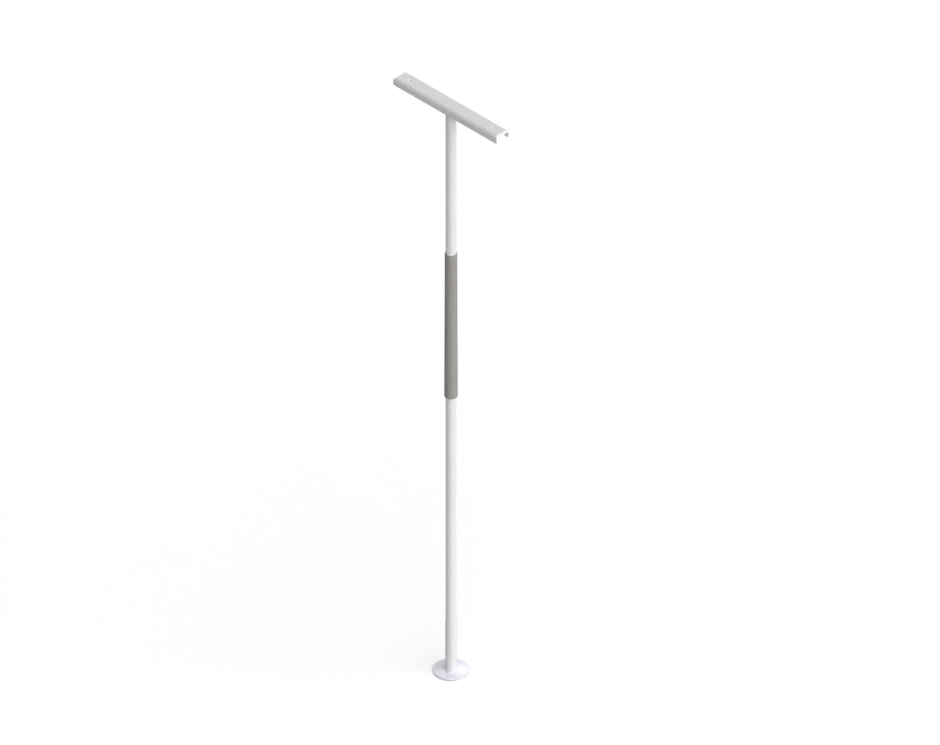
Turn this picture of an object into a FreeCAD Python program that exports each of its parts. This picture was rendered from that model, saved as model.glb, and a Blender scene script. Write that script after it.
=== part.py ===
import FreeCAD, Part
import math
import os

from FreeCAD import Vector

# A transfer pole. A round floor plate carries a screw jack, the jack carries a steel pole in two
# lengths with a tapered hand grip over their joint, and a swivelling head on the pole runs in a
# channel rail that bears on the ceiling.
# Millimetres, +Z up. The origin is on the floor under the pole's axis, and the rail lies along X.

# Whole object
TOTAL_HEIGHT = 2418.5

# Clearances on a radius or a side
RUN_FIT = 0.05
SLIDE_GAP = 0.3
SAME_PLACE = 0.001

# Pole tube
TUBE_DIAMETER = 38.1
TUBE_WALL = 2.1

# Floor pad and floor plate
PAD_THICKNESS = 4.0
PAD_INSET = 4.0
PAD_GROOVE_COUNT = 2
PAD_GROOVE_WIDTH = 3.0
PAD_GROOVE_DEPTH = 1.0
PLATE_DIAMETER = 129.0
PLATE_THICKNESS = 4.0
PLATE_EDGE_ROUNDING = 2.0
PLATE_FOOT_CHAMFER = 0.6
BOSS_HEIGHT = 5.0
BOSS_EDGE_CHAMFER = 1.0

# Lower cover sleeve
COVER_WALL = 0.75
COVER_LENGTH = 207.5
COVER_EDGE_CHAMFER = 0.3

# Screw jack
SPINDLE_DIAMETER = 20.0
SPINDLE_LENGTH = 190.0
SPINDLE_SOCKET_DEPTH = 4.0
SPINDLE_CHAMFER = 1.5
SPINDLE_SCREW_DIAMETER = 8.0
SPINDLE_SCREW_HEAD_DIAMETER = 16.0
SPINDLE_SCREW_SUNK = 0.5
SPINDLE_SCREW_REACH = 22.0
STOP_THICKNESS = 5.0
STOP_CHAMFER = 0.8
STOP_SCREW_HEAD_DIAMETER = 13.0
STOP_SCREW_HEAD_HEIGHT = 6.0
TAPPED_HOLE_SPARE = 4.0
NUT_CORNER_INSET = 1.7
NUT_CHAMFER = 1.2
NUT_HEIGHT = 25.0
NUT_REST_GAP = 56.0
LOCKNUT_HEIGHT = 9.0
THRUST_WASHER_THICKNESS = 2.0
THRUST_WASHER_INSET = 2.0

# Foot insert
INSERT_FLANGE = 4.0
INSERT_LENGTH = 30.0
INSERT_CHAMFER = 1.5

# Hand grip
GRIP_BOTTOM = 1173.5
GRIP_LENGTH = 609.6
GRIP_FOOT_DIAMETER = 47.3
GRIP_HEAD_DIAMETER = 43.7
GRIP_EDGE_CHAMFER = 1.0
GRIP_RING_HEIGHT = 8.0
GRIP_RING_WIDTH = 0.9
GRIP_RING_DEPTH = 0.5

# Joint of the two tubes
SPIGOT_LENGTH = 200.0
SPIGOT_WALL = 3.0
SPIGOT_CHAMFER = 1.0
JOINT_SCREW_OFFSET = 50.0
JOINT_SCREW_DIAMETER = 6.0
JOINT_SCREW_HEAD_DIAMETER = 11.0
JOINT_SCREW_LENGTH = 8.0
JOINT_SCREW_SUNK = 0.4
JOINT_SCREW_SEAM_TURN = 45.0

# Ceiling rail
RAIL_LENGTH = 508.0
RAIL_WIDTH = 60.5
RAIL_HEIGHT = 30.0
RAIL_WALL = 2.5
RAIL_WEB = 3.0
RAIL_SHOULDER_WIDTH = 6.1
RAIL_SHOULDER_DROP = 7.2
RAIL_EDGE_RADIUS = 0.8
BEAD_CENTRE_HEIGHT = 10.9
BEAD_HEIGHT = 5.5
BEAD_RISE = 1.2
HOLE_SPACING = 406.4
HOLE_DIAMETER = 8.0
HOLE_DISH_DIAMETER = 17.4
HOLE_DISH_DEPTH = 2.0

# Head
HEAD_PAD_THICKNESS = 3.0
HEAD_PAD_LENGTH = 70.0
HEAD_PAD_INSET = 1.8
BLOCK_LENGTH = 80.0
BLOCK_SKIRT = 5.5
BLOCK_END_CHAMFER = 1.5
SWIVEL_WASHER_THICKNESS = 2.0
SWIVEL_WASHER_INSET = 4.0
SWIVEL_SHOULDER_DIAMETER = 12.0
SWIVEL_HEAD_DIAMETER = 18.0
SWIVEL_HEAD_HEIGHT = 6.0
SWIVEL_HEAD_SUNK = 1.0
SWIVEL_THREAD_DIAMETER = 10.0
SWIVEL_THREAD_LENGTH = 26.0
PLUG_FLANGE = 4.0
PLUG_LENGTH = 38.0
PLUG_CHAMFER = 1.5

# Hexagon sockets in the screw heads
SOCKET_SHARE = 0.42
SOCKET_DEPTH_SHARE = 0.5

# Radii that the pieces share
tube_radius = TUBE_DIAMETER / 2
bore_radius = tube_radius - TUBE_WALL
cover_bore_radius = tube_radius + SLIDE_GAP
cover_radius = cover_bore_radius + COVER_WALL
boss_radius = cover_bore_radius - SLIDE_GAP
spindle_radius = SPINDLE_DIAMETER / 2
nut_corner_radius = tube_radius - NUT_CORNER_INSET
guide_bore_radius = spindle_radius + SLIDE_GAP
spigot_radius = bore_radius - RUN_FIT
plate_radius = PLATE_DIAMETER / 2
pad_radius = plate_radius - PAD_INSET

# Levels of the foot, from the floor up
plate_top = PAD_THICKNESS + PLATE_THICKNESS
boss_top = plate_top + BOSS_HEIGHT
spindle_foot = boss_top - SPINDLE_SOCKET_DEPTH
spindle_top = spindle_foot + SPINDLE_LENGTH
stop_top = spindle_top + STOP_THICKNESS
locknut_top = boss_top + LOCKNUT_HEIGHT
nut_bottom = locknut_top + NUT_REST_GAP
nut_top = nut_bottom + NUT_HEIGHT
insert_bottom = nut_top + THRUST_WASHER_THICKNESS
tube_bottom = insert_bottom + INSERT_FLANGE
tube_joint = GRIP_BOTTOM + GRIP_LENGTH / 2

# Levels of the head, from the ceiling down
rail_bottom = TOTAL_HEIGHT - RAIL_HEIGHT
shoulder_foot = TOTAL_HEIGHT - RAIL_SHOULDER_DROP
web_underside = TOTAL_HEIGHT - RAIL_WEB
bead_centre = rail_bottom + BEAD_CENTRE_HEIGHT
block_top = web_underside - HEAD_PAD_THICKNESS
block_bottom = bead_centre - BEAD_HEIGHT / 2 - BLOCK_SKIRT
screw_seat = block_top - SWIVEL_HEAD_HEIGHT - SWIVEL_HEAD_SUNK
plug_top = block_bottom - SWIVEL_WASHER_THICKNESS
tube_top = plug_top - PLUG_FLANGE

# Plan of the rail
rail_half_width = RAIL_WIDTH / 2
rail_half_length = RAIL_LENGTH / 2
shoulder_slope = math.hypot(RAIL_SHOULDER_WIDTH, RAIL_SHOULDER_DROP)
block_offset = RAIL_WALL + SLIDE_GAP
hole_places = (-HOLE_SPACING / 2, HOLE_SPACING / 2)


# Shapes that several pieces use

def rounded_corner(before, corner, after, radius):
    """The arc that rounds a corner, as its first, middle and last points."""
    back = (before - corner).normalize()
    ahead = (after - corner).normalize()
    half_angle = back.getAngle(ahead) / 2
    inward = (back + ahead).normalize()
    centre = corner + inward * (radius / math.sin(half_angle))
    reach = radius / math.tan(half_angle)
    return corner + back * reach, centre - inward * radius, corner + ahead * reach


def smooth_face(corners):
    """Flat face inside (point, rounding) corners, each rounding a tangent arc."""
    edges = []
    ends = []
    for number, (corner, radius) in enumerate(corners):
        if radius:
            before = corners[number - 1][0]
            after = corners[(number + 1) % len(corners)][0]
            first, middle, last = rounded_corner(before, corner, after, radius)
            edges.append(Part.Arc(first, middle, last).toShape())
            ends.append((first, last))
        else:
            ends.append((corner, corner))
    for number, (first, last) in enumerate(ends):
        following = ends[(number + 1) % len(ends)][0]
        if last.distanceToPoint(following) > SAME_PLACE:
            edges.append(Part.LineSegment(last, following).toShape())
    return Part.Face(Part.Wire(Part.__sortEdges__(edges)))


def revolved(points):
    """Solid of revolution about Z from (radius, height) points, or with a rounding as a third value."""
    corners = []
    for point in points:
        radius, height, rounding = (*point, 0)[:3]
        corners.append((Vector(radius, 0, height), rounding))
    return smooth_face(corners).revolve(Vector(0, 0, 0), Vector(0, 0, 1), 360)


def rod(radius, bottom, top):
    return Part.makeCylinder(radius, top - bottom, Vector(0, 0, bottom))


def chamfered_rod(radius, bottom, top, low_chamfer, high_chamfer):
    """Cylinder whose two ends are bevelled by their own amounts."""
    points = [(0, bottom), (radius - low_chamfer, bottom)]
    if low_chamfer:
        points.append((radius, bottom + low_chamfer))
    if high_chamfer:
        points.append((radius, top - high_chamfer))
    points += [(radius - high_chamfer, top), (0, top)]
    return revolved(points)


def hexagon_prism(corner_radius, bottom, top):
    corners = []
    for number in range(6):
        angle = math.radians(60 * number)
        corners.append(Vector(corner_radius * math.cos(angle), corner_radius * math.sin(angle), bottom))
    face = Part.Face(Part.makePolygon(corners + corners[:1]))
    return face.extrude(Vector(0, 0, top - bottom))


def hexagon_nut(bottom, height):
    """Hexagon nut with bevelled corners, running on the spindle."""
    top = bottom + height
    envelope = chamfered_rod(nut_corner_radius, bottom, top, NUT_CHAMFER, NUT_CHAMFER)
    nut = hexagon_prism(nut_corner_radius, bottom, top).common(envelope)
    thread_radius = spindle_radius + RUN_FIT
    nut = nut.cut(rod(thread_radius, bottom, top))
    for mouth, inner in ((bottom, bottom + NUT_CHAMFER), (top, top - NUT_CHAMFER)):
        wide = thread_radius + NUT_CHAMFER
        low, high = min(mouth, inner), max(mouth, inner)
        low_radius = wide if low == mouth else thread_radius
        high_radius = wide if high == mouth else thread_radius
        nut = nut.cut(Part.makeCone(low_radius, high_radius, high - low, Vector(0, 0, low)))
    return nut


def head_socket(head_diameter, head_height, top):
    """Cutter for the hexagon socket in a screw head whose upper face is at top."""
    return hexagon_prism(head_diameter * SOCKET_SHARE / 2, top - head_height * SOCKET_DEPTH_SHARE, top)


def countersunk_screw(head_diameter, shank_diameter, length):
    """Screw along Z with its flat head uppermost at height 0 and its tip at -length."""
    head_radius = head_diameter / 2
    shank_radius = shank_diameter / 2
    cone_height = head_radius - shank_radius
    points = [(0, 0), (head_radius, 0), (shank_radius, -cone_height), (shank_radius, -length), (0, -length)]
    return revolved(points).cut(head_socket(head_diameter, cone_height, 0))


def countersunk_hole(head_diameter, shank_diameter, length, outward):
    """Cutter for a countersunk screw, carried on past the head by outward."""
    head_radius = head_diameter / 2 + RUN_FIT
    hole_radius = shank_diameter / 2 + RUN_FIT
    cone_height = head_radius - hole_radius
    points = [(0, outward), (head_radius, outward), (head_radius, 0)]
    points += [(hole_radius, -cone_height), (hole_radius, -length), (0, -length)]
    return revolved(points)


# Foot

def floor_pad():
    """Rubber disc under the plate, with concentric grooves in its tread."""
    pad = rod(pad_radius, 0, PAD_THICKNESS)
    pitch = pad_radius / (PAD_GROOVE_COUNT + 1)
    for number in range(1, PAD_GROOVE_COUNT + 1):
        inner = number * pitch - PAD_GROOVE_WIDTH / 2
        outer = inner + PAD_GROOVE_WIDTH
        groove = rod(outer, 0, PAD_GROOVE_DEPTH).cut(rod(inner, 0, PAD_GROOVE_DEPTH))
        pad = pad.cut(groove)
    return pad


def plate_screw_place():
    """Height of the spindle screw's flat head, which faces the floor."""
    return PAD_THICKNESS + SPINDLE_SCREW_SUNK


def floor_plate():
    """Round plate with a rounded upper edge, and a boss inside the cover sleeve."""
    plate = revolved([(0, PAD_THICKNESS), (plate_radius - PLATE_FOOT_CHAMFER, PAD_THICKNESS),
                      (plate_radius, PAD_THICKNESS + PLATE_FOOT_CHAMFER),
                      (plate_radius, plate_top, PLATE_EDGE_ROUNDING),
                      (boss_radius, plate_top), (boss_radius, boss_top - BOSS_EDGE_CHAMFER),
                      (boss_radius - BOSS_EDGE_CHAMFER, boss_top), (0, boss_top)])
    plate = plate.cut(rod(spindle_radius + RUN_FIT, spindle_foot, boss_top))
    hole = countersunk_hole(SPINDLE_SCREW_HEAD_DIAMETER, SPINDLE_SCREW_DIAMETER,
                            PLATE_THICKNESS + BOSS_HEIGHT, SPINDLE_SCREW_SUNK)
    hole.rotate(Vector(0, 0, 0), Vector(1, 0, 0), 180)
    hole.translate(Vector(0, 0, plate_screw_place()))
    return plate.cut(hole)


def spindle_screw_length():
    return spindle_foot - plate_screw_place() + SPINDLE_SCREW_REACH


def spindle_screw():
    screw = countersunk_screw(SPINDLE_SCREW_HEAD_DIAMETER, SPINDLE_SCREW_DIAMETER, spindle_screw_length())
    screw.rotate(Vector(0, 0, 0), Vector(1, 0, 0), 180)
    screw.translate(Vector(0, 0, plate_screw_place()))
    return screw


def jack_spindle():
    """Spindle at its outside diameter, with a tapped hole in each end."""
    spindle = chamfered_rod(spindle_radius, spindle_foot, spindle_top, 0, SPINDLE_CHAMFER)
    hole_radius = SPINDLE_SCREW_DIAMETER / 2 + RUN_FIT
    depth = SPINDLE_SCREW_REACH + TAPPED_HOLE_SPARE
    spindle = spindle.cut(rod(hole_radius, spindle_foot, spindle_foot + depth))
    return spindle.cut(rod(hole_radius, spindle_top - depth, spindle_top))


def spindle_locknut():
    return hexagon_nut(boss_top, LOCKNUT_HEIGHT)


def spindle_stop():
    """Disc that keeps the nut from running off, and steadies the spindle in the tube."""
    disc = chamfered_rod(bore_radius - SLIDE_GAP, spindle_top, stop_top, STOP_CHAMFER, STOP_CHAMFER)
    return disc.cut(rod(SPINDLE_SCREW_DIAMETER / 2 + RUN_FIT, spindle_top, stop_top))


def stop_screw():
    head_top = stop_top + STOP_SCREW_HEAD_HEIGHT
    screw = chamfered_rod(STOP_SCREW_HEAD_DIAMETER / 2, stop_top, head_top, 0, STOP_CHAMFER)
    screw = screw.cut(head_socket(STOP_SCREW_HEAD_DIAMETER, STOP_SCREW_HEAD_HEIGHT, head_top))
    shank = rod(SPINDLE_SCREW_DIAMETER / 2, spindle_top - SPINDLE_SCREW_REACH, stop_top)
    return screw.fuse(shank).removeSplitter()


def jack_nut():
    return hexagon_nut(nut_bottom, NUT_HEIGHT)


def cover_sleeve():
    """Thin sleeve that stands on the plate, hides the jack and lifts up the tube."""
    top = plate_top + COVER_LENGTH
    sleeve = chamfered_rod(cover_radius, plate_top, top, 0, COVER_EDGE_CHAMFER)
    return sleeve.cut(rod(cover_bore_radius, plate_top, top))


def thrust_washer():
    washer = rod(tube_radius - THRUST_WASHER_INSET, nut_top, insert_bottom)
    return washer.cut(rod(guide_bore_radius, nut_top, insert_bottom))


def foot_insert():
    """Flanged bush in the lower tube's end, which the spindle passes through."""
    top = tube_bottom + INSERT_LENGTH
    insert = rod(tube_radius, insert_bottom, tube_bottom)
    insert = insert.fuse(chamfered_rod(bore_radius - RUN_FIT, tube_bottom, top, 0, INSERT_CHAMFER))
    return insert.cut(rod(guide_bore_radius, insert_bottom, top)).removeSplitter()


# Pole

def joint_screw_set(shape_of_one):
    """Four copies of a shape that points down -Z, turned to enter the tube from both Y sides.

    The seam of each copy is turned away from the edges that it makes in the tube.
    """
    seat = math.sqrt(tube_radius ** 2 - (JOINT_SCREW_HEAD_DIAMETER / 2) ** 2) - JOINT_SCREW_SUNK
    copies = []
    for level in (tube_joint - JOINT_SCREW_OFFSET, tube_joint + JOINT_SCREW_OFFSET):
        for side in (-1, 1):
            one = shape_of_one.copy()
            one.rotate(Vector(0, 0, 0), Vector(0, 0, 1), JOINT_SCREW_SEAM_TURN)
            one.rotate(Vector(0, 0, 0), Vector(1, 0, 0), -90 * side)
            one.translate(Vector(0, side * seat, level))
            copies.append(one)
    return copies


def joint_screws():
    screw = countersunk_screw(JOINT_SCREW_HEAD_DIAMETER, JOINT_SCREW_DIAMETER, JOINT_SCREW_LENGTH)
    return Part.makeCompound(joint_screw_set(screw))


def joint_holes():
    return joint_screw_set(countersunk_hole(JOINT_SCREW_HEAD_DIAMETER, JOINT_SCREW_DIAMETER,
                                            JOINT_SCREW_LENGTH, TUBE_WALL))


def tube(bottom, top):
    """Length of pole tube, with the spigot's screw holes where they fall in it."""
    pipe = rod(tube_radius, bottom, top).cut(rod(bore_radius, bottom, top))
    return pipe.cut(joint_holes())


def lower_tube():
    return tube(tube_bottom, tube_joint)


def upper_tube():
    return tube(tube_joint, tube_top)


def joint_spigot():
    """Sleeve inside both tubes, half in each."""
    bottom = tube_joint - SPIGOT_LENGTH / 2
    top = tube_joint + SPIGOT_LENGTH / 2
    spigot = chamfered_rod(spigot_radius, bottom, top, SPIGOT_CHAMFER, SPIGOT_CHAMFER)
    spigot = spigot.cut(rod(spigot_radius - SPIGOT_WALL, bottom, top))
    return spigot.cut(joint_holes())


def grip_radius(height):
    """Outside radius of the tapered grip at a height above its lower end."""
    share = height / GRIP_LENGTH
    return (GRIP_FOOT_DIAMETER + share * (GRIP_HEAD_DIAMETER - GRIP_FOOT_DIAMETER)) / 2


def grip_sleeve():
    """Moulded grip: straight taper, bevelled ends and a ring line near the foot."""
    top = GRIP_BOTTOM + GRIP_LENGTH
    inner = tube_radius + RUN_FIT
    low_radius = grip_radius(GRIP_EDGE_CHAMFER)
    high_radius = grip_radius(GRIP_LENGTH - GRIP_EDGE_CHAMFER)
    grip = revolved([(inner, GRIP_BOTTOM), (low_radius - GRIP_EDGE_CHAMFER, GRIP_BOTTOM),
                     (low_radius, GRIP_BOTTOM + GRIP_EDGE_CHAMFER), (high_radius, top - GRIP_EDGE_CHAMFER),
                     (high_radius - GRIP_EDGE_CHAMFER, top), (inner, top)])
    ring_bottom = GRIP_BOTTOM + GRIP_RING_HEIGHT
    ring_radius = grip_radius(GRIP_RING_HEIGHT)
    ring = rod(ring_radius + GRIP_RING_DEPTH, ring_bottom, ring_bottom + GRIP_RING_WIDTH)
    ring = ring.cut(rod(ring_radius - GRIP_RING_DEPTH, ring_bottom, ring_bottom + GRIP_RING_WIDTH))
    return grip.cut(ring)


# Head

def head_plug():
    """Flanged plug in the upper tube's end, tapped for the shoulder screw."""
    plug = rod(tube_radius, tube_top, plug_top)
    body = chamfered_rod(bore_radius - RUN_FIT, plug_top - PLUG_FLANGE - PLUG_LENGTH, tube_top,
                         PLUG_CHAMFER, 0)
    hole_bottom = plug_top - SWIVEL_THREAD_LENGTH - TAPPED_HOLE_SPARE
    hole = rod(SWIVEL_THREAD_DIAMETER / 2 + RUN_FIT, hole_bottom, plug_top)
    return plug.fuse(body).cut(hole).removeSplitter()


def swivel_washer():
    washer = rod(tube_radius - SWIVEL_WASHER_INSET, plug_top, block_bottom)
    return washer.cut(rod(SWIVEL_SHOULDER_DIAMETER / 2 + RUN_FIT, plug_top, block_bottom))


def swivel_screw():
    """Shoulder screw that clamps on the plug and leaves the head free to turn."""
    head_top = screw_seat + SWIVEL_HEAD_HEIGHT
    screw = chamfered_rod(SWIVEL_HEAD_DIAMETER / 2, screw_seat, head_top, 0, STOP_CHAMFER)
    screw = screw.cut(head_socket(SWIVEL_HEAD_DIAMETER, SWIVEL_HEAD_HEIGHT, head_top))
    shoulder = rod(SWIVEL_SHOULDER_DIAMETER / 2, plug_top, screw_seat)
    thread = rod(SWIVEL_THREAD_DIAMETER / 2, plug_top - SWIVEL_THREAD_LENGTH, plug_top)
    return screw.fuse([shoulder, thread]).removeSplitter()


def shoulder_reach(half_size, offset, height):
    """Half width or length on the sloped shoulder at a height, offset inwards from its outer face."""
    edge = half_size - offset * shoulder_slope / RAIL_SHOULDER_DROP
    return edge - (height - shoulder_foot) * RAIL_SHOULDER_WIDTH / RAIL_SHOULDER_DROP


def offset_foot(offset):
    """Height at which the offset shoulder meets the offset side."""
    inset = offset * shoulder_slope / RAIL_SHOULDER_DROP - offset
    return shoulder_foot - inset * RAIL_SHOULDER_DROP / RAIL_SHOULDER_WIDTH


def channel_half_outline(offset, bottom, top, bead_shrink, rounding):
    """Edges up the +Y half of the channel form, and their lowest and highest points."""
    side = rail_half_width - offset
    bead_half = BEAD_HEIGHT / 2 - bead_shrink
    low = Vector(0, side, bottom)
    bead_low = Vector(0, side, bead_centre - bead_half)
    bead_middle = Vector(0, side + BEAD_RISE, bead_centre)
    bead_high = Vector(0, side, bead_centre + bead_half)
    foot = Vector(0, side, offset_foot(offset))
    crown = Vector(0, shoulder_reach(rail_half_width, offset, top), top)
    edges = [Part.LineSegment(low, bead_low).toShape(),
             Part.Arc(bead_low, bead_middle, bead_high).toShape()]
    if not rounding:
        edges.append(Part.LineSegment(bead_high, foot).toShape())
        edges.append(Part.LineSegment(foot, crown).toShape())
        return edges, low, crown
    foot_arc = rounded_corner(bead_high, foot, crown, rounding)
    crown_arc = rounded_corner(foot, crown, Vector(0, 0, top), rounding)
    edges += [Part.LineSegment(bead_high, foot_arc[0]).toShape(), Part.Arc(*foot_arc).toShape(),
              Part.LineSegment(foot_arc[2], crown_arc[0]).toShape(), Part.Arc(*crown_arc).toShape()]
    return edges, low, crown_arc[2]


def channel_form(offset, bottom, top, length, bead_shrink=0.0, rounding=0.0):
    """Solid bar with the channel's cross-section, offset inwards, centred on the pole."""
    edges, low, high = channel_half_outline(offset, bottom, top, bead_shrink, rounding)
    mirrored = []
    for edge in edges:
        mirrored.append(edge.mirror(Vector(0, 0, 0), Vector(0, 1, 0)))
    floor_edge = Part.LineSegment(Vector(0, -low.y, low.z), low).toShape()
    roof_edge = Part.LineSegment(high, Vector(0, -high.y, high.z)).toShape()
    outline = Part.Wire(Part.__sortEdges__(edges + mirrored + [floor_edge, roof_edge]))
    bar = Part.Face(outline).extrude(Vector(length, 0, 0))
    bar.translate(Vector(-length / 2, 0, 0))
    return bar


def end_form(half_outline):
    """Solid across the rail whose long view has this outline of (x, z, rounding) on the +X side."""
    corners = [(Vector(x, -RAIL_WIDTH, z), rounding) for x, z, rounding in half_outline]
    corners += [(Vector(-x, -RAIL_WIDTH, z), rounding) for x, z, rounding in reversed(half_outline)]
    return smooth_face(corners).extrude(Vector(0, 2 * RAIL_WIDTH, 0))


def head_block():
    """Sliding block: it fills the channel's section, with a tongue in each bead's groove."""
    block = channel_form(block_offset, block_bottom, block_top, BLOCK_LENGTH, bead_shrink=SLIDE_GAP)
    upright_ends = []
    for edge in block.Edges:
        at_end = abs(abs(edge.CenterOfMass.x) - BLOCK_LENGTH / 2) < RUN_FIT
        if at_end and abs(edge.CenterOfMass.z - block_bottom) < RUN_FIT:
            upright_ends.append(edge)
    block = block.makeChamfer(BLOCK_END_CHAMFER, upright_ends)
    block = block.cut(rod(SWIVEL_SHOULDER_DIAMETER / 2 + RUN_FIT, block_bottom, block_top))
    return block.cut(rod(SWIVEL_HEAD_DIAMETER / 2 + SLIDE_GAP, screw_seat, block_top))


def head_pad():
    half_width = shoulder_reach(rail_half_width, RAIL_WALL, web_underside) - HEAD_PAD_INSET
    return Part.makeBox(HEAD_PAD_LENGTH, 2 * half_width, HEAD_PAD_THICKNESS,
                        Vector(-HEAD_PAD_LENGTH / 2, -half_width, block_top))


# Rail

def rail_outside():
    """The rail's outer form: sloped shoulders along both sides, mitred into the slopes of its ends."""
    bar = channel_form(0, rail_bottom, TOTAL_HEIGHT, RAIL_LENGTH, rounding=RAIL_EDGE_RADIUS)
    crown = rail_half_length - RAIL_SHOULDER_WIDTH
    return bar.common(end_form([(rail_half_length, rail_bottom, 0), (rail_half_length, shoulder_foot, 0),
                                (crown, TOTAL_HEIGHT, RAIL_EDGE_RADIUS)]))


def rail_inside():
    """Cutter for the channel. At each end it leaves a lip, cut square to its slope."""
    bar = channel_form(RAIL_WALL, rail_bottom, web_underside, RAIL_LENGTH + RAIL_WIDTH)
    across = Vector(RAIL_SHOULDER_DROP, 0, RAIL_SHOULDER_WIDTH) / shoulder_slope
    lip_edge = Vector(rail_half_length, 0, shoulder_foot)
    lip_inner = lip_edge - across * RAIL_WALL
    lip_outer = lip_edge + across * RAIL_WALL
    crown = shoulder_reach(rail_half_length, RAIL_WALL, web_underside)
    return bar.common(end_form([(lip_outer.x, rail_bottom, 0), (lip_outer.x, lip_outer.z, 0),
                                (lip_inner.x, lip_inner.z, 0), (crown, web_underside, 0)]))


def ceiling_rail():
    """Pressed channel with sloped shoulders and ends, a bead along each side and two dished holes."""
    rail = rail_outside().cut(rail_inside())
    for place in hole_places:
        hole = rod(HOLE_DIAMETER / 2, web_underside, TOTAL_HEIGHT)
        dish = Part.makeCone(HOLE_DIAMETER / 2, HOLE_DISH_DIAMETER / 2, HOLE_DISH_DEPTH,
                             Vector(0, 0, TOTAL_HEIGHT - HOLE_DISH_DEPTH))
        cutter = hole.fuse(dish)
        cutter.translate(Vector(place, 0, 0))
        rail = rail.cut(cutter)
    return rail


PIECES = (floor_pad, floor_plate, spindle_screw, jack_spindle, spindle_locknut, spindle_stop, stop_screw,
          cover_sleeve, jack_nut, thrust_washer, foot_insert, lower_tube, upper_tube, joint_spigot,
          joint_screws, grip_sleeve, head_plug, swivel_washer, swivel_screw, head_block, head_pad,
          ceiling_rail)

os.makedirs("parts", exist_ok=True)
for piece in PIECES:
    shape = piece()
    name = piece.__name__
    shape.exportStep("parts/" + name + ".step")
    box = shape.BoundBox
    print(name, len(shape.Solids), shape.isValid(), round(shape.Volume, 1),
          [round(value, 2) for value in (box.XMin, box.XMax, box.YMin, box.YMax, box.ZMin, box.ZMax)])
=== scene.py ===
import bmesh
import bpy
import math
from mathutils import Matrix, Vector

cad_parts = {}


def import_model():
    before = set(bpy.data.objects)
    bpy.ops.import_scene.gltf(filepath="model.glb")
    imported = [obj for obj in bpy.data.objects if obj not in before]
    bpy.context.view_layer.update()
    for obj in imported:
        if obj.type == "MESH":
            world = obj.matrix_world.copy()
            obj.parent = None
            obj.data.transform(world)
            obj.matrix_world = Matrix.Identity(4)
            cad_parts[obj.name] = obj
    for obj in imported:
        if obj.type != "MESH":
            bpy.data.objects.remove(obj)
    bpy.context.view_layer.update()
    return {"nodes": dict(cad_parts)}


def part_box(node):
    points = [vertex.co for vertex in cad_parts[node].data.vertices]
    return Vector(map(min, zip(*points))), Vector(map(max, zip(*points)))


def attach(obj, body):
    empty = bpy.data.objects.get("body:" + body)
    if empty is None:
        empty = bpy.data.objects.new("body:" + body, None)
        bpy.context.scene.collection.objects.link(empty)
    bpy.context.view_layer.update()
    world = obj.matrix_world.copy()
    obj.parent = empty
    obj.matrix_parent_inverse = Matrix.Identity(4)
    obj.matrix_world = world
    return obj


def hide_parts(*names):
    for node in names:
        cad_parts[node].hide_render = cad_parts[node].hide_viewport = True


# A floor-to-ceiling transfer pole on a plain white ground. Metres, +Z up, in the part's own frame.

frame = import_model()
nodes = frame["nodes"]

# Photograph: a parallel isometric view, 940 by 745 pixels
IMAGE_WIDTH_PX = 940
IMAGE_HEIGHT_PX = 745
METRES_PER_PX = 0.0034836
BASE_PX = (451.0, 670.7)
CAMERA_DISTANCE = 8.0
CAMERA_REACH = 60.0
CAMERA_BACK = Vector((1, -1, 1)).normalized()
CAMERA_RIGHT = Vector((1, 1, 0)).normalized()
CAMERA_UP = CAMERA_BACK.cross(CAMERA_RIGHT)

# Light: a broad lamp from the +X side, a faint one from behind that glints in the plate, and a glow
# that is strongest overhead
KEY_DIRECTION = Vector((0.78, -0.03, 0.62))
KEY_STRENGTH = 2.9
KEY_SPREAD = math.radians(80)
KEY_COLOUR = (1.0, 0.99, 0.965)
GLINT_DIRECTION = Vector((-0.54, 0.61, 0.58))
GLINT_STRENGTH = 0.026
GLINT_SPREAD = math.radians(4)
OVERHEAD_STRENGTH = 0.6
OVERHEAD_COLOUR = (0.92, 0.94, 1.0)
OVERHEAD_FALLOFF = 3.0
FLOOR_TONE = 0.6
FLOOR_OWN_WHITE = 0.49
FLOOR_HALF_WIDTH = 30.0
FLOOR_ROUGHNESS = 0.6

# Floor plate: its crown leans the normal outwards by this much for each metre from the axis, and its
# glaze fades in between two upward slopes
PLATE_CROWN = 1.1
GLAZE_FROM = 0.35
GLAZE_TO = 0.6
GLAZE_IOR = 2.0
GLAZE_ROUGHNESS = 0.2

# Floor pad
PAD_GROOVE_COUNT = 2
PAD_GROOVE_WIDTH = 0.003
PAD_GROOVE_DEPTH = 0.001
PAD_LIP_INSET = 0.0008
PAD_LIP_ROUNDING = 0.003
PAD_LIP_STEPS = 8
PAD_CENTRE_RADIUS = 0.0001
PAD_STEPS = 144
PAD_SHARP_ANGLE = math.radians(30)

# Jack thread, with the ends of its root and of its crest as shares of the pitch
THREAD_PITCH = 0.004
THREAD_DEPTH = 0.0021
THREAD_ROOT_END = 0.35
THREAD_CREST_START = 0.5
THREAD_CREST_END = 0.85
THREAD_STEPS = 40
SAME_VERTEX = 1e-6


# Node helpers

def new_material(name):
    """Empty node material: (material, node tree, Principled shader)."""
    material = bpy.data.materials.new(name)
    material.use_nodes = True
    tree = material.node_tree
    tree.nodes.clear()
    output = tree.nodes.new("ShaderNodeOutputMaterial")
    shader = tree.nodes.new("ShaderNodeBsdfPrincipled")
    tree.links.new(shader.outputs["BSDF"], output.inputs["Surface"])
    return material, tree, shader


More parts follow.
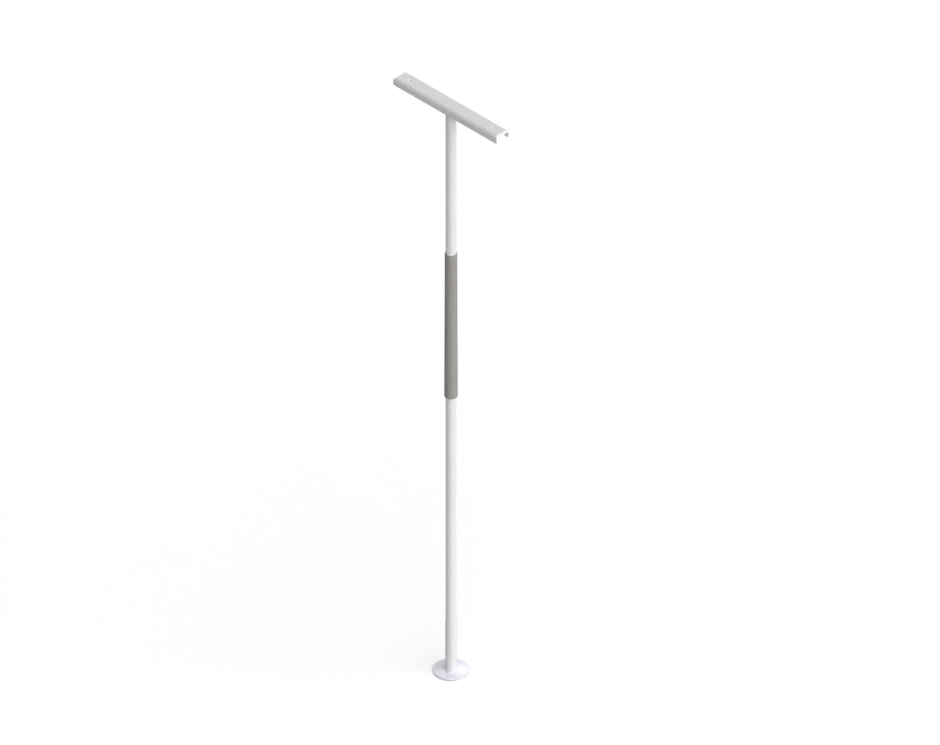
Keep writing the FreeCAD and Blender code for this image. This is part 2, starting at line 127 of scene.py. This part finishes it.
def object_coordinates(tree, scale=(1, 1, 1)):
    """Position on the piece in metres, stretched by scale."""
    coordinates = tree.nodes.new("ShaderNodeTexCoord")
    mapping = tree.nodes.new("ShaderNodeMapping")
    mapping.inputs["Scale"].default_value = scale
    tree.links.new(coordinates.outputs["Object"], mapping.inputs["Vector"])
    return mapping.outputs["Vector"]


def noise(tree, vector, scale, detail=3.0, roughness=0.5):
    texture = tree.nodes.new("ShaderNodeTexNoise")
    texture.inputs["Scale"].default_value = scale
    texture.inputs["Detail"].default_value = detail
    texture.inputs["Roughness"].default_value = roughness
    tree.links.new(vector, texture.inputs["Vector"])
    return texture.outputs["Fac"]


def remap(tree, value, low, high, from_low=0.3, from_high=0.7):
    """value from from_low..from_high to low..high, clamped."""
    ranged = tree.nodes.new("ShaderNodeMapRange")
    ranged.inputs["From Min"].default_value = from_low
    ranged.inputs["From Max"].default_value = from_high
    ranged.inputs["To Min"].default_value = low
    ranged.inputs["To Max"].default_value = high
    tree.links.new(value, ranged.inputs["Value"])
    return ranged.outputs["Result"]


def blend_colours(tree, factor, first, second):
    """Colour that goes from first to second with factor."""
    mix = tree.nodes.new("ShaderNodeMix")
    mix.data_type = "RGBA"
    mix.inputs["A"].default_value = (*first, 1)
    mix.inputs["B"].default_value = (*second, 1)
    tree.links.new(factor, mix.inputs["Factor"])
    return mix.outputs["Result"]


def bump(tree, shader, height, strength, distance, normal=None):
    node = tree.nodes.new("ShaderNodeBump")
    node.inputs["Strength"].default_value = strength
    node.inputs["Distance"].default_value = distance
    tree.links.new(height, node.inputs["Height"])
    if normal:
        tree.links.new(normal, node.inputs["Normal"])
    tree.links.new(node.outputs["Normal"], shader.inputs["Normal"])


# Materials

def facing_up(tree):
    """1 on faces that look up, also on a rounded edge, and 0 on walls and undersides."""
    geometry = tree.nodes.new("ShaderNodeNewGeometry")
    axes = tree.nodes.new("ShaderNodeSeparateXYZ")
    tree.links.new(geometry.outputs["Normal"], axes.inputs["Vector"])
    return remap(tree, axes.outputs["Z"], 0, 1, GLAZE_FROM, GLAZE_TO)


def crowned_normal(tree, crown):
    """Surface normal that leans outwards by crown for each metre from the pole's axis."""
    geometry = tree.nodes.new("ShaderNodeNewGeometry")
    lean = tree.nodes.new("ShaderNodeVectorMath")
    tree.links.new(geometry.outputs["Normal"], lean.inputs[0])
    tree.links.new(object_coordinates(tree, (crown, crown, 0)), lean.inputs[1])
    return lean.outputs["Vector"]


def enamel(name, colour, shade, roughness, crown=0):
    """Powder-coated steel: faint orange peel, and a slight drift of tone."""
    material, tree, shader = new_material(name)
    position = object_coordinates(tree)
    drift = noise(tree, position, scale=9.0)
    tree.links.new(blend_colours(tree, drift, shade, colour), shader.inputs["Base Color"])
    patches = noise(tree, position, scale=60.0, detail=4.0)
    tree.links.new(remap(tree, patches, roughness - 0.05, roughness + 0.06), shader.inputs["Roughness"])
    peel = noise(tree, position, scale=900.0, detail=2.0)
    normal = crowned_normal(tree, crown) if crown else None
    bump(tree, shader, peel, strength=0.12, distance=0.0002, normal=normal)
    return material


def glazed_enamel(name, colour, shade, roughness, crown):
    """Enamel with a clear coat over the upper face and its rounded edge, and a satin wall."""
    material = enamel(name, colour, shade, roughness, crown)
    tree = material.node_tree
    shader = tree.nodes["Principled BSDF"]
    tree.links.new(facing_up(tree), shader.inputs["Coat Weight"])
    tree.links.new(crowned_normal(tree, crown), shader.inputs["Coat Normal"])
    shader.inputs["Coat IOR"].default_value = GLAZE_IOR
    shader.inputs["Coat Roughness"].default_value = GLAZE_ROUGHNESS
    return material


def rubber(name, colour, shade, grain_scale):
    """Moulded rubber: fine pebble grain, rubbed a little paler in places."""
    material, tree, shader = new_material(name)
    position = object_coordinates(tree)
    rubbed = noise(tree, position, scale=14.0, detail=5.0, roughness=0.6)
    tone = blend_colours(tree, remap(tree, rubbed, 0, 1), shade, colour)
    tree.links.new(tone, shader.inputs["Base Color"])
    tree.links.new(remap(tree, rubbed, low=0.72, high=0.58), shader.inputs["Roughness"])
    grain = tree.nodes.new("ShaderNodeTexVoronoi")
    grain.inputs["Scale"].default_value = grain_scale
    tree.links.new(position, grain.inputs["Vector"])
    bump(tree, shader, grain.outputs["Distance"], strength=0.35, distance=0.0004)
    shader.inputs["Specular IOR Level"].default_value = 0.15
    return material


def drawn_metal(name, colour, shade, roughness, metallic, stretch):
    """Bare or coated satin metal with fine lines along the axis whose stretch is small."""
    material, tree, shader = new_material(name)
    lines = noise(tree, object_coordinates(tree, stretch), scale=1.0, detail=4.0, roughness=0.6)
    patches = noise(tree, object_coordinates(tree), scale=22.0, detail=4.0, roughness=0.55)
    tone = blend_colours(tree, remap(tree, patches, 0, 1), shade, colour)
    tree.links.new(tone, shader.inputs["Base Color"])
    tree.links.new(remap(tree, lines, roughness - 0.06, roughness + 0.08), shader.inputs["Roughness"])
    bump(tree, shader, lines, strength=0.1, distance=0.0001)
    shader.inputs["Metallic"].default_value = metallic
    return material


def moulded_plastic(name, colour, shade, roughness):
    """Injection-moulded plastic with a light spark-eroded texture."""
    material, tree, shader = new_material(name)
    position = object_coordinates(tree)
    cloud = noise(tree, position, scale=40.0)
    tree.links.new(blend_colours(tree, cloud, shade, colour), shader.inputs["Base Color"])
    texture = noise(tree, position, scale=1500.0, detail=2.0)
    tree.links.new(remap(tree, texture, roughness - 0.05, roughness + 0.08), shader.inputs["Roughness"])
    bump(tree, shader, texture, strength=0.2, distance=0.0002)
    return material


white = enamel("white_enamel", (0.825, 0.825, 0.84), (0.805, 0.805, 0.82), roughness=0.32)
plate_white = glazed_enamel("plate_enamel_gloss", (0.81, 0.82, 0.92), (0.79, 0.80, 0.90),
                            roughness=0.3, crown=PLATE_CROWN)
grip_grey = rubber("grip_warm_grey", (0.355, 0.348, 0.32), (0.335, 0.329, 0.302), grain_scale=1400.0)
pale_rubber = rubber("pale_rubber", (0.58, 0.58, 0.60), (0.54, 0.54, 0.56), grain_scale=900.0)
black_rubber = rubber("black_rubber", (0.035, 0.035, 0.037), (0.026, 0.026, 0.028), grain_scale=900.0)
rail_grey = drawn_metal("rail_satin", (0.80, 0.805, 0.785), (0.78, 0.785, 0.765),
                        roughness=0.5, metallic=0.0, stretch=(3.0, 900.0, 900.0))
steel = drawn_metal("turned_steel", (0.62, 0.62, 0.63), (0.54, 0.54, 0.56),
                    roughness=0.3, metallic=1.0, stretch=(200.0, 200.0, 2500.0))
zinc = drawn_metal("zinc_plated_steel", (0.66, 0.67, 0.69), (0.58, 0.59, 0.62),
                   roughness=0.34, metallic=1.0, stretch=(900.0, 900.0, 900.0))
bronze = drawn_metal("sintered_bronze", (0.55, 0.36, 0.17), (0.45, 0.29, 0.13),
                     roughness=0.45, metallic=1.0, stretch=(700.0, 700.0, 700.0))
pale_plastic = moulded_plastic("pale_acetal", (0.74, 0.74, 0.71), (0.70, 0.70, 0.67), roughness=0.45)
dark_plastic = moulded_plastic("dark_nylon", (0.05, 0.05, 0.053), (0.04, 0.04, 0.043), roughness=0.5)

NODE_MATERIALS = {
    "floor_plate": plate_white,
    "cover_sleeve": white,
    "lower_tube": white,
    "upper_tube": white,
    "grip_sleeve": grip_grey,
    "floor_pad": black_rubber,
    "head_pad": black_rubber,
    "ceiling_rail": rail_grey,
    "jack_spindle": steel,
    "jack_nut": steel,
    "foot_insert": steel,
    "joint_spigot": steel,
    "head_plug": steel,
    "spindle_screw": zinc,
    "spindle_locknut": zinc,
    "stop_screw": zinc,
    "joint_screws": zinc,
    "swivel_screw": zinc,
    "thrust_washer": bronze,
    "spindle_stop": pale_plastic,
    "swivel_washer": pale_plastic,
    "head_block": dark_plastic,
}
for name, material in NODE_MATERIALS.items():
    for material_slot in nodes[name].material_slots:
        material_slot.material = material


# Pieces of the scene's own

def threaded_spindle():
    """The jack's spindle with its trapezoidal thread cut in, for the plain rod of the frame."""
    low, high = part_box("jack_spindle")
    crest = (high[0] - low[0]) / 2
    root = crest - THREAD_DEPTH
    profile = ((0.0, root), (THREAD_ROOT_END, root),
               (THREAD_CREST_START, crest), (THREAD_CREST_END, crest))
    turns = math.ceil((high[2] - low[2]) / THREAD_PITCH) + 1
    mesh = bmesh.new()
    rows = []
    for step in range(turns * THREAD_STEPS + 1):
        angle = math.tau * step / THREAD_STEPS
        rise = low[2] + (step / THREAD_STEPS - 1) * THREAD_PITCH
        row = []
        for share, radius in profile:
            height = min(max(rise + share * THREAD_PITCH, low[2]), high[2])
            row.append(mesh.verts.new((radius * math.cos(angle), radius * math.sin(angle), height)))
        rows.append(row)
    for step in range(len(rows) - 1):
        for number in range(len(profile) - 1):
            mesh.faces.new((rows[step][number], rows[step + 1][number],
                            rows[step + 1][number + 1], rows[step][number + 1]))
        following = step + THREAD_STEPS
        if following + 1 < len(rows):
            mesh.faces.new((rows[step][-1], rows[step + 1][-1],
                            rows[following + 1][0], rows[following][0]))
    bmesh.ops.remove_doubles(mesh, verts=mesh.verts, dist=SAME_VERTEX)
    bmesh.ops.holes_fill(mesh, edges=mesh.edges, sides=0)
    bmesh.ops.recalc_face_normals(mesh, faces=mesh.faces)
    piece = new_piece("threaded_spindle", mesh, steel)
    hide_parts("jack_spindle")
    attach(piece, "base")


def moulded_pad():
    """The floor pad with its tread grooves, and the lip that fills the gap under the plate's rim."""
    low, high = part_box("floor_pad")
    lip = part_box("floor_plate")[1][0] - PAD_LIP_INSET
    pitch = high[0] / (PAD_GROOVE_COUNT + 1)
    profile = [(PAD_CENTRE_RADIUS, low[2])]
    for number in range(1, PAD_GROOVE_COUNT + 1):
        inner = number * pitch - PAD_GROOVE_WIDTH / 2
        outer = inner + PAD_GROOVE_WIDTH
        groove_top = low[2] + PAD_GROOVE_DEPTH
        profile += [(inner, low[2]), (inner, groove_top), (outer, groove_top), (outer, low[2])]
    for step in range(PAD_LIP_STEPS + 1):
        angle = math.pi / 2 * step / PAD_LIP_STEPS
        profile.append((lip - PAD_LIP_ROUNDING * (1 - math.sin(angle)),
                        low[2] + PAD_LIP_ROUNDING * (1 - math.cos(angle))))
    profile += [(lip, high[2]), (PAD_CENTRE_RADIUS, high[2])]
    mesh = bmesh.new()
    rings = []
    for radius, height in profile:
        ring = []
        for step in range(PAD_STEPS):
            angle = math.tau * step / PAD_STEPS
            ring.append(mesh.verts.new((radius * math.cos(angle), radius * math.sin(angle), height)))
        rings.append(ring)
    for ring, following in zip(rings, rings[1:]):
        for step in range(PAD_STEPS):
            ahead = (step + 1) % PAD_STEPS
            mesh.faces.new((ring[step], ring[ahead], following[ahead], following[step]))
    mesh.faces.new(rings[0])
    mesh.faces.new(rings[-1])
    bmesh.ops.recalc_face_normals(mesh, faces=mesh.faces)
    for face in mesh.faces:
        face.smooth = len(face.verts) == 4
    piece = new_piece("moulded_pad", mesh, pale_rubber)
    piece.data.set_sharp_from_angle(angle=PAD_SHARP_ANGLE)
    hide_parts("floor_pad")
    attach(piece, "base")


def new_piece(name, mesh, material):
    """Object with a bmesh's faces and one material."""
    data = bpy.data.meshes.new(name)
    mesh.to_mesh(data)
    mesh.free()
    data.materials.append(material)
    piece = bpy.data.objects.new(name, data)
    bpy.context.scene.collection.objects.link(piece)
    return piece


# Stage, light and camera

def larger(tree, first, second):
    node = tree.nodes.new("ShaderNodeMath")
    node.operation = "MAXIMUM"
    tree.links.new(first, node.inputs[0])
    tree.links.new(second, node.inputs[1])
    return node.outputs["Value"]


def seen_directly(tree):
    """1 where the camera sees the surface, also in a reflection or through glass, and else 0."""
    rays = tree.nodes.new("ShaderNodeLightPath")
    seen = larger(tree, rays.outputs["Is Camera Ray"], rays.outputs["Is Glossy Ray"])
    return larger(tree, seen, rays.outputs["Is Transmission Ray"])


def floor():
    """Plain ground: a grey floor to the lamps, with a white of its own where it is seen."""
    half = FLOOR_HALF_WIDTH
    corners = [(-half, -half, 0), (half, -half, 0), (half, half, 0), (-half, half, 0)]
    mesh = bpy.data.meshes.new("floor")
    mesh.from_pydata(corners, [], [(0, 1, 2, 3)])
    ground = bpy.data.objects.new("floor", mesh)
    bpy.context.scene.collection.objects.link(ground)
    material, tree, shader = new_material("floor_white")
    shader.inputs["Base Color"].default_value = (FLOOR_TONE, FLOOR_TONE, FLOOR_TONE, 1)
    shader.inputs["Roughness"].default_value = FLOOR_ROUGHNESS
    shader.inputs["Emission Color"].default_value = (1, 1, 1, 1)
    own_white = remap(tree, seen_directly(tree), 0, FLOOR_OWN_WHITE, 0, 1)
    tree.links.new(own_white, shader.inputs["Emission Strength"])
    mesh.materials.append(material)


def world():
    """Glow that is strongest straight overhead, behind a plain white that the camera sees."""
    studio = bpy.data.worlds.new("studio")
    bpy.context.scene.world = studio
    studio.use_nodes = True
    tree = studio.node_tree
    tree.nodes.clear()
    output = tree.nodes.new("ShaderNodeOutputWorld")
    coordinates = tree.nodes.new("ShaderNodeTexCoord")
    axes = tree.nodes.new("ShaderNodeSeparateXYZ")
    tree.links.new(coordinates.outputs["Generated"], axes.inputs["Vector"])
    falloff = tree.nodes.new("ShaderNodeMath")
    falloff.operation = "POWER"
    tree.links.new(remap(tree, axes.outputs["Z"], 0, 1, 0, 1), falloff.inputs[0])
    falloff.inputs[1].default_value = OVERHEAD_FALLOFF
    glow = tree.nodes.new("ShaderNodeBackground")
    glow.inputs["Color"].default_value = (*OVERHEAD_COLOUR, 1)
    strength = remap(tree, falloff.outputs["Value"], 0, OVERHEAD_STRENGTH, 0, 1)
    tree.links.new(strength, glow.inputs["Strength"])
    plain = tree.nodes.new("ShaderNodeBackground")
    plain.inputs["Color"].default_value = (1, 1, 1, 1)
    mix = tree.nodes.new("ShaderNodeMixShader")
    tree.links.new(seen_directly(tree), mix.inputs["Fac"])
    tree.links.new(glow.outputs["Background"], mix.inputs[1])
    tree.links.new(plain.outputs["Background"], mix.inputs[2])
    tree.links.new(mix.outputs["Shader"], output.inputs["Surface"])


def lamp(name, direction, strength, spread, colour):
    """Lamp far off in a direction, as wide as spread."""
    data = bpy.data.lights.new(name, "SUN")
    data.energy = strength
    data.angle = spread
    data.color = colour
    item = bpy.data.objects.new(name, data)
    item.rotation_euler = direction.to_track_quat("Z", "Y").to_euler()
    bpy.context.scene.collection.objects.link(item)


def camera():
    data = bpy.data.cameras.new("camera")
    data.type = "ORTHO"
    data.ortho_scale = IMAGE_WIDTH_PX * METRES_PER_PX
    data.clip_end = CAMERA_REACH
    item = bpy.data.objects.new("camera", data)
    bpy.context.scene.collection.objects.link(item)
    across = (IMAGE_WIDTH_PX / 2 - BASE_PX[0]) * METRES_PER_PX
    up = (BASE_PX[1] - IMAGE_HEIGHT_PX / 2) * METRES_PER_PX
    item.location = CAMERA_RIGHT * across + CAMERA_UP * up + CAMERA_BACK * CAMERA_DISTANCE
    axes = Matrix((CAMERA_RIGHT, CAMERA_UP, CAMERA_BACK)).transposed()
    item.rotation_euler = axes.to_euler()
    bpy.context.scene.camera = item


threaded_spindle()
moulded_pad()
floor()
world()
lamp("key", KEY_DIRECTION, KEY_STRENGTH, KEY_SPREAD, KEY_COLOUR)
lamp("glint", GLINT_DIRECTION, GLINT_STRENGTH, GLINT_SPREAD, (1, 1, 1))
camera()
bpy.context.scene.view_settings.view_transform = "Standard"
